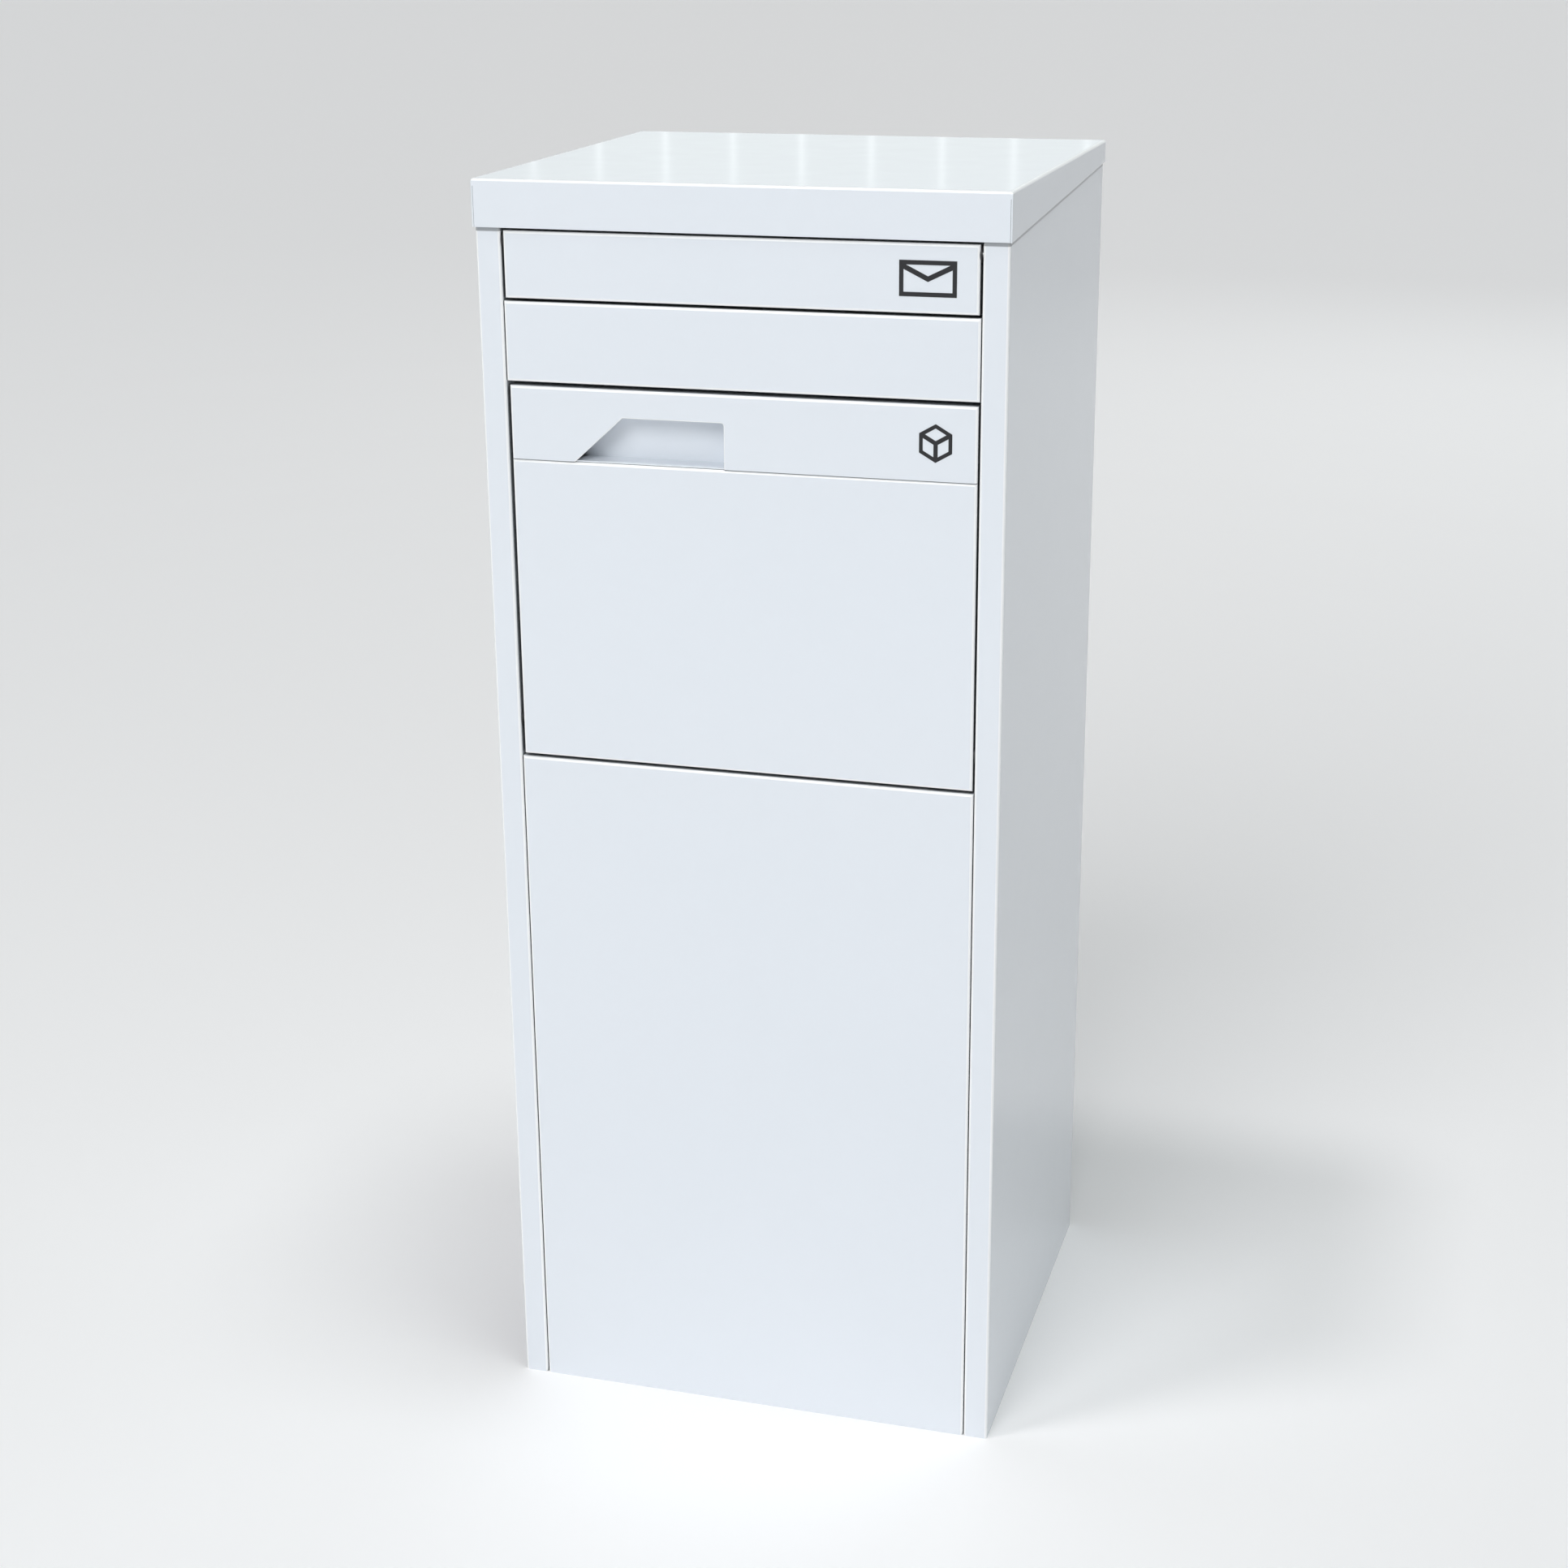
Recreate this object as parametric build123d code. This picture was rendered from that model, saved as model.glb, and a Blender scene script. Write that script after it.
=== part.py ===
from build123d import *
from math import cos, radians, sin, sqrt
import os

# A free-standing letter and parcel box folded from steel sheet.
# Millimetres, +Z up, the front faces -Y, the origin is on the floor at the middle of the base.

# ---- overall sizes ----
BODY_WIDTH = 440.0
BODY_DEPTH = 412.0

# ---- sheets and bends ----
OVERCUT = 1.0
HOLE_REACH = 5.0
TINY = 0.001
SHEET = 1.5
CAP_SHEET = 1.2
BASE_SHEET = 2.0
BEND = 1.0
CAP_BEND = 1.4
LAP_GAP = 0.2
SEAT_GAP = 0.3

# ---- front levels, from the floor up ----
LOWER_PANEL_TOP = 608.1
DOOR_GAP = 2.5
DOOR_SKIN_HEIGHT = 257.0
SKIN_JOINT = 0.3
GRIP_STRIP_HEIGHT = 61.0
HOPPER_TOP_GAP = 3.3
UPPER_PANEL_HEIGHT = 65.4
FLAP_GAP = 2.3
FLAP_HEIGHT = 54.2
FLAP_TOP_GAP = 2.2

# ---- posts and fixed front panels ----
POST_WIDTH = 21.4
POST_RETURN = 30.0
PANEL_SIDE_GAP = 0.6
PANEL_RETURN = 26.0
PANEL_EDGE_RETURN = 16.0
SIDE_TOP_FLANGE = 18.0
TOP_FLANGE_FRONT_GAP = 4.0
TOP_FLANGE_BACK_GAP = 8.0
SCREW_FROM_PANEL_EDGE = 7.0
LOWER_SCREW_RISE = 80.0
LOWER_SCREW_DROP = 45.0
UPPER_SCREW_INSET = 18.0

# ---- cap ----
CAP_FRONT_DROP = 38.7
CAP_BACK_DROP = 19.3
STUD_R = 2.5
STUD_LENGTH = 11.0
STUD_CLEARANCE = 0.3
NUT_CLEARANCE = 0.05
NUT_R = 4.6
NUT_THICK = 4.0
CAP_STUD_INSET = 56.0
CAP_SEAM = 0.25
CAP_SEAM_TOP = 6.0
CAP_SPARE = 5.0

# ---- letter flap ----
FLAP_SIDE_GAP = 2.1
FLAP_RETURN = 14.0
FLAP_ROD_DROP = 8.1
FLAP_ROD_SETBACK = 7.0
ROD_R = 3.0
ROD_END = 2.0
ROD_CLIP_R = 6.0
ROD_CLIP_THICK = 2.0
RUNNING_CLEARANCE = 0.06
BUSH_WALL = 2.0
BUSH_FLANGE_THICK = 1.0
FLAP_BUSH_INSET = 0.6
STOP_BAR_WIDTH = 14.0
STOP_BAR_SIDE_GAP = 2.5
PAD_THICK = 2.0
FLAP_PAD_INSET = 20.0
FLAP_PAD_WIDTH = 5.0
FLAP_PAD_DROP = 1.0

# ---- parcel hopper ----
HOPPER_SIDE_GAP = 2.2
HOPPER_SHIFT = 0.6
HOPPER_RETURN = 16.0
PIVOT_SETBACK = 10.0
PIVOT_RISE = 31.9
PIVOT_PIN_R = 4.0
PIVOT_HEAD_R = 6.5
PIVOT_HEAD_THICK = 2.4
PIVOT_BUSH_WALL = 2.0
PIVOT_BUSH_END = 3.0
PIVOT_BUSH_FLANGE_R = 8.0
PIVOT_PIN_END = 4.0
CHEEK_OVER_STRIP = 34.1
CHEEK_TOP_MARGIN = 3.0
FLOOR_SLOPE = 30.0
FLOOR_BELOW_PIVOT = 8.0
FLOOR_FRONT_FLANGE = 16.0
FLOOR_SIDE_FLANGE = 14.0
FLOOR_REAR_LIP = 10.0
FLOOR_FLANGE_START = 34.0
FLOOR_FLANGE_END = 6.0
TRAY_EDGE_MARGIN = 2.0
RIVET_R = 1.6
RIVET_HEAD_R = 3.4
RIVET_HEAD_THICK = 1.2
RIVET_FROM_EDGE = 5.0
RIVET_SHARES = (0.26, 0.57, 0.88)
STRIP_RIVET_RISE = 18.0
TRAY_RIVET_FRONT = 20.0
TRAY_RIVET_MIDDLE = 130.0
TRAY_RIVET_BACK = 50.0
TRAY_RIVET_SHARE = 0.55
DOOR_NOTCH_DROP = 4.0
REST_BAR_INSET = 36.0
REST_BAR_WIDTH = 24.0
REST_BAR_WEB = 18.0
REST_PLATE_FRONT = 20.0
REST_PLATE_BACK = 12.0
REST_PLATE_DOWN = 30.0
REST_PLATE_UP = 8.0
REST_STUD_DROP = 22.0
REST_PAD_LENGTH = 300.0
REST_PAD_WIDTH = 14.0
HOPPER_TRAVEL = 45.0
STOP_STUD_R = 5.0
STOP_STUD_LENGTH = 11.5
STOP_STUD_INSET = 22.0
STOP_STUD_ANGLE = 75.0
STOP_REACH = 20.0
STOP_WIDTH = 24.0
STOP_PAD_CENTRE = 15.0
STOP_PAD_LENGTH = 9.0
STOP_PAD_WIDTH = 16.0

# ---- finger cut-out and pocket ----
CUT_FROM_LEFT = 55.0
CUT_SLANT = 42.2
CUT_WIDTH = 128.6
CUT_HEIGHT = 38.2
CUT_CORNER_R = 2.5
CUT_EDGE_R = 1.0
CUT_OVERLAP = 0.4
CUT_SLANT_GROWTH = 1.4
POCKET_DEPTH = 22.0
POCKET_MARGIN = 4.0
POCKET_SHEET = 1.0

# ---- letter chute and baffle ----
CHUTE_SLOPE = 20.0
CHUTE_BELOW_PANEL_TOP = 7.6
CHUTE_FRONT_SETBACK = 18.0
CHUTE_PAST_BAFFLE = 4.0
CHUTE_SIDE_FLANGE = 15.0
CHUTE_NECK_GAP = 5.5
CHUTE_POST_GAP = 2.0
CHUTE_LIP = 20.0
CHUTE_STUD_FRONT = 50.0
CHUTE_STUD_BACK = 40.0
BAFFLE_CLEARANCE = 8.0
BAFFLE_OVER_TRAY = 7.2
BAFFLE_FLANGE = 18.0
BAFFLE_LIP = 12.0
BAFFLE_STUD_RISES = (30.0, 130.0)

# ---- rear door, its frame and lock ----
REAR_DOOR_BOTTOM = 40.0
REAR_DOOR_TOP_DROP = 59.6
REAR_SIDE_GAP = 2.0
REAR_RETURN = 16.0
REAR_RAIL_GAP = 2.0
REAR_RAIL_FLANGE = 34.0
HINGE_INSET = 10.0
HINGE_PIN_R = 4.0
HINGE_PIN_LENGTH = 26.0
HINGE_COLLAR_R = 7.0
LOCK_INSET = 20.6
LOCK_R = 9.0
LOCK_HEAD_R = 12.0
LOCK_HEAD_THICK = 1.2
LOCK_LENGTH = 20.0
LOCK_NUT_R = 13.0
LOCK_NUT_THICK = 4.0
PLUG_R = 6.0
PLUG_TAIL = 1.2
KEY_SLOT_HALF = 0.8
KEY_SLOT_DEPTH = 8.0
KEY_SLOT_REACH = 3.8
CAM_LENGTH = 34.0
CAM_WIDTH = 16.0
CAM_THICK = 2.5
CAM_SCREW_R = 4.0
CAM_SCREW_HEAD = 2.4
STRIKE_GAP = 1.0
STRIKE_HEIGHT = 44.0
STIFFENER_WIDTH = 46.0
STIFFENER_DEPTH = 12.0
REAR_STOP_INSET = 240.0

# ---- base ----
ANCHOR_SPACING_X = 300.0
ANCHOR_SPACING_Y = 280.0
ANCHOR_HOLE_R = 5.5
BASE_FLANGE = 20.0

# ---- small fixings ----
SCREW_R = 1.9
SCREW_HOLE_CLEARANCE = 0.2
SCREW_HEAD_R = 4.2
SCREW_HEAD_THICK = 2.2
SCREW_LENGTH = 8.0
WALL_STUD_R = 2.0
WALL_STUD_LENGTH = 8.0
WALL_NUT_R = 3.8
WALL_NUT_THICK = 3.2
SYMBOL_THICK = 0.15
SYMBOL_LINE = 3.5
SYMBOL_INSET = 20.0
SYMBOL_HEIGHT = 28.0
ENVELOPE_WIDTH = 46.0
ENVELOPE_FOLD_DROP = 2.5
FOLD_LINE_DEPTH = 4.4
PARCEL_SYMBOL_R = 15.5
HEXAGON_SIDES = 6
HEXAGON_TURN = 30.0
BASE_RELIEF = 6.0
STIFFENER_FOOT = 12.0
STIFFENER_END_GAP = 25.0
STRIKE_FOOT = 16.0
STRIKE_STUD_INSET = 8.0
REAR_STOP_LIP = 6.0
REAR_STOP_FOOT = 18.0
REAR_STOP_HALF = 15.0
REAR_PAD_LIP = 5.0
REAR_PAD_HALF = 10.0

# ---- positions worked out from the sizes above ----
X_SIDE = BODY_WIDTH / 2
Y_FRONT = -BODY_DEPTH / 2
Y_BACK = BODY_DEPTH / 2
X_POST = X_SIDE - POST_WIDTH
X_WALL = X_SIDE - SHEET

DOOR_BOTTOM = LOWER_PANEL_TOP + DOOR_GAP
DOOR_SKIN_TOP = DOOR_BOTTOM + DOOR_SKIN_HEIGHT
STRIP_BOTTOM = DOOR_SKIN_TOP + SKIN_JOINT
STRIP_TOP = STRIP_BOTTOM + GRIP_STRIP_HEIGHT
UPPER_PANEL_BOTTOM = STRIP_TOP + HOPPER_TOP_GAP
UPPER_PANEL_TOP = UPPER_PANEL_BOTTOM + UPPER_PANEL_HEIGHT
FLAP_BOTTOM = UPPER_PANEL_TOP + FLAP_GAP
FLAP_TOP = FLAP_BOTTOM + FLAP_HEIGHT
TOTAL_HEIGHT = FLAP_TOP + FLAP_TOP_GAP + CAP_FRONT_DROP
BODY_TOP = TOTAL_HEIGHT - CAP_SHEET - LAP_GAP
CAP_STUD_X = X_SIDE - SIDE_TOP_FLANGE / 2 - SHEET
CAP_STUD_Y = Y_BACK - CAP_STUD_INSET
PANEL_SCREW_Y = Y_FRONT + PANEL_RETURN - SCREW_FROM_PANEL_EDGE

ROD_Y = Y_FRONT + FLAP_ROD_SETBACK
ROD_Z = FLAP_TOP - FLAP_ROD_DROP
FLAP_X = X_POST - FLAP_SIDE_GAP
FLAP_BUSH_FLANGE_R = FLAP_ROD_SETBACK - FLAP_BUSH_INSET
ROD_CLIP_FIT_R = min(ROD_CLIP_R, FLAP_ROD_SETBACK - SHEET - BEND)

HOPPER_X0 = HOPPER_SHIFT - X_POST + HOPPER_SIDE_GAP
HOPPER_X1 = HOPPER_SHIFT + X_POST - HOPPER_SIDE_GAP
CHEEK_X0 = HOPPER_X0 + SHEET + LAP_GAP
CHEEK_X1 = HOPPER_X1 - SHEET - LAP_GAP
TRAY_X0 = CHEEK_X0 + SHEET + LAP_GAP
TRAY_X1 = CHEEK_X1 - SHEET - LAP_GAP
PIVOT_Y = Y_FRONT + PIVOT_SETBACK
PIVOT_Z = LOWER_PANEL_TOP + PIVOT_RISE
CHEEK_R = STRIP_BOTTOM + CHEEK_OVER_STRIP - PIVOT_Z
STOP_STUD_ORBIT = CHEEK_R - STOP_STUD_INSET
STOP_TILT = STOP_STUD_ANGLE - HOPPER_TRAVEL
CUT_LEFT = HOPPER_X0 + CUT_FROM_LEFT
SLOPE_Y = cos(radians(FLOOR_SLOPE))
SLOPE_Z = -sin(radians(FLOOR_SLOPE))
TRAY_Y = Y_FRONT + SHEET + LAP_GAP + SHEET
TRAY_Z = PIVOT_Z - FLOOR_BELOW_PIVOT

BAFFLE_Y = PIVOT_Y + CHEEK_R + BAFFLE_CLEARANCE
BAFFLE_BOTTOM = PIVOT_Z + CHEEK_R * cos(radians(90 + FLOOR_SLOPE - HOPPER_TRAVEL)) + BAFFLE_OVER_TRAY
CHUTE_Y = Y_FRONT + CHUTE_FRONT_SETBACK
CHUTE_FRONT_Z = UPPER_PANEL_TOP - CHUTE_BELOW_PANEL_TOP
CHUTE_BACK_Y = BAFFLE_Y + CHUTE_PAST_BAFFLE
WALL_FIT_X = X_WALL - LAP_GAP

REAR_DOOR_TOP = BODY_TOP - REAR_DOOR_TOP_DROP
REAR_STOP_LEVELS = [REAR_DOOR_BOTTOM + REAR_STOP_INSET, REAR_DOOR_TOP - REAR_STOP_INSET]
REAR_X = X_POST - REAR_SIDE_GAP
HINGE_X = HINGE_INSET - REAR_X
HINGE_Y = Y_BACK - HINGE_INSET
LOCK_X = REAR_X - LOCK_INSET
LOCK_Z = (REAR_DOOR_BOTTOM + REAR_DOOR_TOP) / 2
CAM_FRONT_Y = Y_BACK - LOCK_LENGTH - PLUG_TAIL
STRIKE_Y = CAM_FRONT_Y + STRIKE_GAP


# ---- shape helpers ----
def block(x0, x1, y0, y1, z0, z1):
    """A box between two corners."""
    low = (min(x0, x1), min(y0, y1), min(z0, z1))
    size = (abs(x1 - x0), abs(y1 - y0), abs(z1 - z0))
    return Pos(*low) * Box(*size, align=(Align.MIN, Align.MIN, Align.MIN))


def rod(axis, centre, radius, start, end):
    """A cylinder along X, Y or Z; centre gives its other two coordinates."""
    length = abs(end - start)
    low = min(start, end)
    solid = Cylinder(radius, length, align=(Align.CENTER, Align.CENTER, Align.MIN))
    if axis == "x":
        return Pos(low, centre[0], centre[1]) * Rot(0, 90, 0) * solid
    if axis == "y":
        return Pos(centre[0], low, centre[1]) * Rot(-90, 0, 0) * solid
    return Pos(centre[0], centre[1], low) * solid


def hexagon_nut(axis, centre, radius, start, end, bore_r):
    """A hexagonal nut, its corners on the radius, with a round bore."""
    length = abs(end - start)
    low = min(start, end)
    solid = extrude(RegularPolygon(radius, 6), length) - extrude(Circle(bore_r), length)
    if axis == "x":
        return Pos(low, centre[0], centre[1]) * Rot(0, 90, 0) * solid
    if axis == "y":
        return Pos(centre[0], low, centre[1]) * Rot(-90, 0, 0) * solid
    return Pos(centre[0], centre[1], low) * solid


def side_prism(points, x0, x1):
    """A polygon of (y, z) points drawn out along X."""
    face = Plane.YZ.offset(x0) * Polygon(*points, align=None)
    return extrude(face, x1 - x0, dir=(1, 0, 0))


def face_prism(points, y0, y1):
    """A polygon of (x, z) points drawn out along Y, from y0 back to y1."""
    face = Plane.XZ.offset(-y0) * Polygon(*points, align=None)
    return extrude(face, y1 - y0, dir=(0, 1, 0))


def plan_prism(points, z0, z1):
    """A polygon of (x, y) points drawn out along Z."""
    face = Plane.XY.offset(z0) * Polygon(*points, align=None)
    return extrude(face, z1 - z0, dir=(0, 0, 1))


def bent_outline(points, thickness, bend):
    """The section of a bent sheet: its outer face follows the points, its body lies to the right."""
    count = len(points)
    units = []
    for i in range(count - 1):
        step = Vector(*points[i + 1]) - Vector(*points[i])
        units.append(step.normalized())
    inner = []
    outer_radii = []
    inner_radii = []
    for i in range(count):
        point = Vector(*points[i])
        before = units[max(i - 1, 0)]
        after = units[min(i, count - 2)]
        side_before = Vector(before.Y, -before.X)
        side_after = Vector(after.Y, -after.X)
        if i == 0 or i == count - 1:
            inner.append(point + side_after * thickness if i == 0 else point + side_before * thickness)
            continue
        both = side_before + side_after
        inner.append(point + both * (thickness / (1 + side_before.dot(side_after))))
        turns_right = before.X * after.Y - before.Y * after.X < 0
        outer_radii.append(bend + thickness if turns_right else bend)
        inner_radii.append(bend if turns_right else bend + thickness)
    outer_pts = [Vector(*p) for p in points]
    if count > 2:
        outer_line = FilletPolyline(*outer_pts, radius=outer_radii)
        inner_line = FilletPolyline(*inner, radius=inner_radii)
    else:
        outer_line = Line(*outer_pts)
        inner_line = Line(*inner)
    start_line = Line(outer_pts[0], inner[0])
    end_line = Line(outer_pts[-1], inner[-1])
    edges = outer_line.edges() + inner_line.edges() + start_line.edges() + end_line.edges()
    return make_face(edges)


def bent_plan(points, z0, z1, thickness=SHEET, bend=BEND):
    """A bent sheet whose section lies in plan."""
    face = Plane.XY.offset(z0) * bent_outline(points, thickness, bend)
    return extrude(face, z1 - z0, dir=(0, 0, 1))


def bent_side(points, x0, x1, thickness=SHEET, bend=BEND):
    """A bent sheet whose section lies in the side view, drawn out along X."""
    face = Plane.YZ.offset(x0) * bent_outline(points, thickness, bend)
    return extrude(face, x1 - x0, dir=(1, 0, 0))


def pan(x0, x1, z0, z1, y_skin, depth, folds, facing=-1, sheet=SHEET, bend=BEND):
    """A folded panel: a skin at y_skin with returns on the named sides, L, R, B and T."""
    y_end = y_skin - facing * depth
    outer = block(x0, x1, y_skin, y_end, z0, z1)
    rims = outer.faces().sort_by(Axis.Y)[0 if facing < 0 else -1].edges()
    folded = []
    for edge in rims:
        centre = edge.center()
        if "L" in folds and abs(centre.X - x0) < TINY:
            folded.append(edge)
        if "R" in folds and abs(centre.X - x1) < TINY:
            folded.append(edge)
        if "B" in folds and abs(centre.Z - z0) < TINY:
            folded.append(edge)
        if "T" in folds and abs(centre.Z - z1) < TINY:
            folded.append(edge)
    outer = fillet(folded, bend + sheet)
    spare = 5 * sheet
    inner = block(
        x0 + sheet if "L" in folds else x0 - spare,
        x1 - sheet if "R" in folds else x1 + spare,
        y_skin - facing * sheet,
        y_end - facing * spare,
        z0 + sheet if "B" in folds else z0 - spare,
        z1 - sheet if "T" in folds else z1 + spare,
    )
    return outer - inner


def both_sides(make):
    """A piece and its mirror image across the middle plane."""
    piece = make()
    return [piece, mirror(piece, Plane.YZ)]


def save(name, shape):
    """Writes one sub-part, a solid or a group of solids."""
    if isinstance(shape, (list, tuple)):
        solids = [solid for piece in shape for solid in piece.solids()]
        shape = Compound(children=solids) if len(solids) > 1 else solids[0]
    export_step(shape, f"parts/{name}.step")


# ---- fixings on the side walls ----
def chute_stud_points():
    """Where the chute's side flanges are held: (y, z) points."""
    slope = radians(CHUTE_SLOPE)
    points = []
    for y in (CHUTE_Y + CHUTE_STUD_FRONT, CHUTE_BACK_Y - CHUTE_STUD_BACK):
        z = CHUTE_FRONT_Z - (y - CHUTE_Y) * sin(slope) / cos(slope) + CHUTE_SIDE_FLANGE / 2
        points.append((y, z))
    return points


def baffle_stud_points():
    """Where the baffle's side flanges are held."""
    y = BAFFLE_Y + SHEET + BAFFLE_FLANGE / 2
    return [(y, BAFFLE_BOTTOM + rise) for rise in BAFFLE_STUD_RISES]


def rest_bar_centre():
    """The middle of the face of the bar that the closed hopper rests on."""
    along = CHEEK_R - REST_BAR_INSET
    down = SHEET + SEAT_GAP + PAD_THICK
    y = TRAY_Y + along * SLOPE_Y + down * SLOPE_Z
    z = TRAY_Z + along * SLOPE_Z - down * SLOPE_Y
    return (y, z)


def hopper_stop_frame():
    """Where the stop stud ends its travel, and the direction it arrives from."""
    end_angle = radians(STOP_TILT)
    y = PIVOT_Y + STOP_STUD_ORBIT * sin(end_angle)
    z = PIVOT_Z + STOP_STUD_ORBIT * cos(end_angle)
    return (y, z, end_angle)


def hopper_stop_stud_point():
    """Where each hopper stop is held to the side wall."""
    y, z, angle = hopper_stop_frame()
    reach = STOP_STUD_R + SEAT_GAP + PAD_THICK + SHEET + STOP_WIDTH / 2
    return (y - reach * cos(angle), z + reach * sin(angle))


def strike_stud_point():
    """Where the lock's strike is held to the right wall."""
    return (STRIKE_Y + SHEET + STRIKE_STUD_INSET, LOCK_Z)


def rear_stop_stud_points():
    """Where the rear door's stops are held to the right wall."""
    y = Y_BACK - REAR_RETURN - SEAT_GAP - PAD_THICK - SHEET - REAR_STOP_FOOT / 2
    return [(y, z) for z in REAR_STOP_LEVELS]


def wall_studs(right):
    """The weld studs on one side wall's inner face, as (y, z) points."""
    points = chute_stud_points() + baffle_stud_points()
    points = points + [rest_bar_stud_point(), hopper_stop_stud_point()]
    if right:
        points = points + [strike_stud_point()] + rear_stop_stud_points()
    return points


def rest_bar_stud_point():
    """Where the rest bar's end plates are held, below and behind its face."""
    y, z = rest_bar_centre()
    return (y, z - REST_STUD_DROP)


def panel_screw_levels():
    """Heights of the screws that hold the fixed front panels to the posts."""
    lower = [LOWER_SCREW_RISE, LOWER_PANEL_TOP / 2, LOWER_PANEL_TOP - LOWER_SCREW_DROP]
    upper = [UPPER_PANEL_BOTTOM + UPPER_SCREW_INSET, UPPER_PANEL_TOP - UPPER_SCREW_INSET]
    return lower + upper


# ---- casing ----
def side_panel(right):
    """One side wall with its front post, rear return, top flange and weld studs."""
    path = [
        (-X_POST, Y_FRONT + POST_RETURN),
        (-X_POST, Y_FRONT),
        (-X_SIDE, Y_FRONT),
        (-X_SIDE, Y_BACK),
        (-X_POST, Y_BACK),
    ]
    wall = bent_plan(path, 0, BODY_TOP)
    flange = block(
        -X_WALL - SHEET / 2, -X_SIDE + SIDE_TOP_FLANGE,
        Y_FRONT + POST_RETURN + TOP_FLANGE_FRONT_GAP, Y_BACK - TOP_FLANGE_BACK_GAP,
        BODY_TOP - SHEET, BODY_TOP,
    )
    wall = wall + flange
    for y in (-CAP_STUD_Y, CAP_STUD_Y):
        hole_r = STUD_R + STUD_CLEARANCE
        wall -= rod("z", (-CAP_STUD_X, y), hole_r, BODY_TOP - 2 * SHEET, BODY_TOP + OVERCUT)
    inside = -X_POST + OVERCUT
    outside = -X_POST - SHEET - OVERCUT
    wall -= rod("x", (PIVOT_Y, PIVOT_Z), pivot_bush_r() + LAP_GAP / 4, outside, inside)
    wall -= rod("x", (ROD_Y, ROD_Z), ROD_R + RUNNING_CLEARANCE, outside, inside)
    for z in panel_screw_levels():
        wall -= rod("x", (PANEL_SCREW_Y, z), SCREW_R + SCREW_HOLE_CLEARANCE, outside, inside)
    for point in wall_studs(right):
        wall += rod("x", point, WALL_STUD_R, -X_WALL - SHEET / 2, -X_WALL + WALL_STUD_LENGTH)
    if right:
        wall = mirror(wall, Plane.YZ)
    return wall


def pivot_bush_r():
    """Outer radius of the hopper's pivot bushes."""
    return PIVOT_PIN_R + RUNNING_CLEARANCE + PIVOT_BUSH_WALL


def wall_nuts():
    """The nuts on the weld studs of both side walls."""
    nuts = []
    inner = X_WALL - LAP_GAP - SHEET - NUT_CLEARANCE
    for side in (-1, 1):
        for point in wall_studs(side > 0):
            start = side * inner
            end = side * (inner - WALL_NUT_THICK)
            nuts.append(hexagon_nut("x", point, WALL_NUT_R, start, end, WALL_STUD_R + NUT_CLEARANCE))
    return nuts


def base_plate():
    """The floor tray: it clears both posts and carries the anchor holes."""
    side = WALL_FIT_X
    neck = X_POST - SHEET - PANEL_SIDE_GAP - LAP_GAP
    front = Y_FRONT + SHEET + LAP_GAP
    step = Y_FRONT + POST_RETURN + LAP_GAP
    back = Y_BACK - 2 * SHEET - 2 * LAP_GAP
    outline = [
        (-neck, front), (neck, front), (neck, step), (side, step),
        (side, back), (-side, back), (-side, step), (-neck, step),
    ]
    plate = plan_prism(outline, 0, BASE_SHEET)
    front_end = neck - BASE_RELIEF
    back_end = side - BASE_RELIEF
    plate += block(-front_end, front_end, front, front + BASE_SHEET, 0, BASE_FLANGE)
    plate += block(-back_end, back_end, back - BASE_SHEET, back, 0, BASE_FLANGE)
    for edge in (-1, 1):
        plate += block(
            edge * side, edge * (side - BASE_SHEET),
            step + BASE_RELIEF, back - BASE_RELIEF, 0, BASE_FLANGE,
        )
    for x in (-ANCHOR_SPACING_X / 2, ANCHOR_SPACING_X / 2):
        for y in (-ANCHOR_SPACING_Y / 2, ANCHOR_SPACING_Y / 2):
            plate -= rod("z", (x, y), ANCHOR_HOLE_R, -OVERCUT, BASE_SHEET + OVERCUT)
    return plate


def top_cap():
    """The folded lid: its side flanges rise towards the back, and four studs hang below it."""
    side = X_SIDE + LAP_GAP + CAP_SHEET
    front = Y_FRONT - LAP_GAP - CAP_SHEET
    back = Y_BACK + LAP_GAP + CAP_SHEET
    deep = TOTAL_HEIGHT - CAP_FRONT_DROP
    shallow = TOTAL_HEIGHT - CAP_BACK_DROP
    outer = block(-side, side, front, back, deep - CAP_SPARE, TOTAL_HEIGHT)
    outer = fillet(outer.faces().sort_by(Axis.Z)[-1].edges(), CAP_BEND + CAP_SHEET)
    inner = block(
        -side + CAP_SHEET, side - CAP_SHEET, front + CAP_SHEET, back - CAP_SHEET,
        deep - 2 * CAP_SPARE, TOTAL_HEIGHT - CAP_SHEET,
    )
    lid = outer - inner
    under = deep - 4 * CAP_SPARE
    below = [
        (front - CAP_SPARE, under), (front - CAP_SPARE, deep), (front + CAP_SHEET, deep),
        (back - CAP_SHEET, shallow), (back + CAP_SPARE, shallow), (back + CAP_SPARE, under),
    ]
    lid -= side_prism(below, -side - CAP_SPARE, side + CAP_SPARE)
    seam_top = TOTAL_HEIGHT - CAP_SEAM_TOP
    front_in = front + CAP_SHEET + OVERCUT
    back_in = back - CAP_SHEET - OVERCUT
    for edge in (-1, 1):
        x = edge * (side - CAP_SHEET)
        x_in = x - edge * CAP_SEAM
        lid -= block(x, x_in, front - OVERCUT, front_in, deep - OVERCUT, seam_top)
        lid -= block(x, x_in, back_in, back + OVERCUT, shallow - OVERCUT, seam_top)
    for x in (-CAP_STUD_X, CAP_STUD_X):
        for y in (-CAP_STUD_Y, CAP_STUD_Y):
            top = TOTAL_HEIGHT - CAP_SHEET / 2
            lid += rod("z", (x, y), STUD_R, top - STUD_LENGTH, top)
    return lid


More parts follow.
